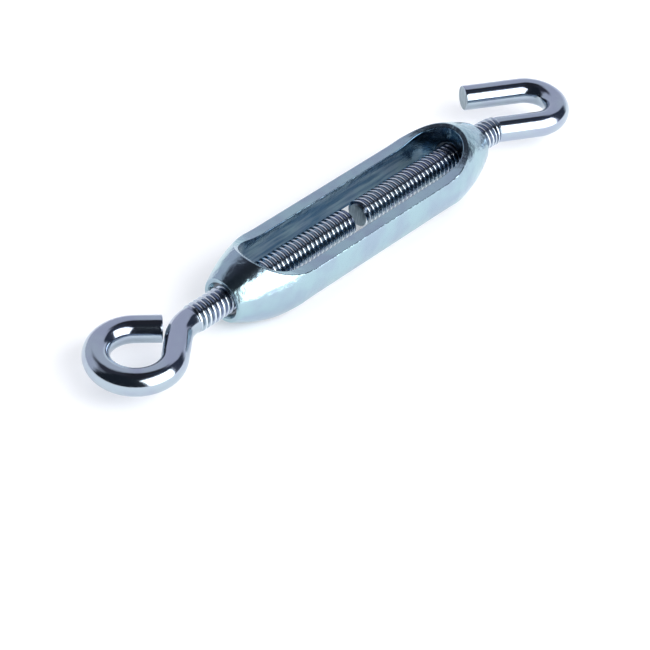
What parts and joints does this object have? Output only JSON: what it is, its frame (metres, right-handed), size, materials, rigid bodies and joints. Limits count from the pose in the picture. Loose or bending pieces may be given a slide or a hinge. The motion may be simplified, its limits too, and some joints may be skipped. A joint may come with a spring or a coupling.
{
  "type": "turnbuckle",
  "caption": "Open-frame rigging turnbuckle with an eye bolt at one end and a hook bolt at the other; turning the frame draws eye and hook together.",
  "frame": {"origin": "centre of the eye, where the load is taken", "axes": "+X along the thread axis from the eye to the hook, +Z square to the flat that the eye, the slot and the hook lie in"},
  "size_m": [0.1431, 0.0257, 0.0156],
  "materials": {
    "frame_zinc": "bright blue-white zinc plating over a forged steel frame, satin with bright edges",
    "bolt_zinc": "bright blue-white zinc plating over drawn steel wire with a rolled thread",
    "tapped_steel": "tapped thread, thinly plated and oiled"
  },
  "bodies": {
    "eye_bolt": {"eye_bolt": "bolt_zinc"},
    "thread_carrier": {"left_hand_thread": "tapped_steel", "right_hand_thread": "tapped_steel"},
    "frame": {"frame": "frame_zinc"},
    "hook_bolt": {"hook_bolt": "bolt_zinc"}
  },
  "joints": [
    {"name": "frame_turn", "type": "hinge", "parent": "thread_carrier", "child": "frame", "pos_m": [0.0636, 0, 0], "axis": [-1, 0, 0], "range_deg": [-360, 8280]},
    {"name": "frame_travel", "type": "slide", "parent": "eye_bolt", "child": "thread_carrier", "axis": [1, 0, 0], "range_m": [-0.00128, 0.02922]},
    {"name": "hook_travel", "type": "slide", "parent": "eye_bolt", "child": "hook_bolt", "axis": [1, 0, 0], "range_m": [-0.00256, 0.05844]}
  ],
  "couplings": [
    {"joint": "frame_travel", "follows": "frame_turn", "m_per_rad": 0.00020213},
    {"joint": "hook_travel", "follows": "frame_turn", "m_per_rad": 0.00040425}
  ]
}
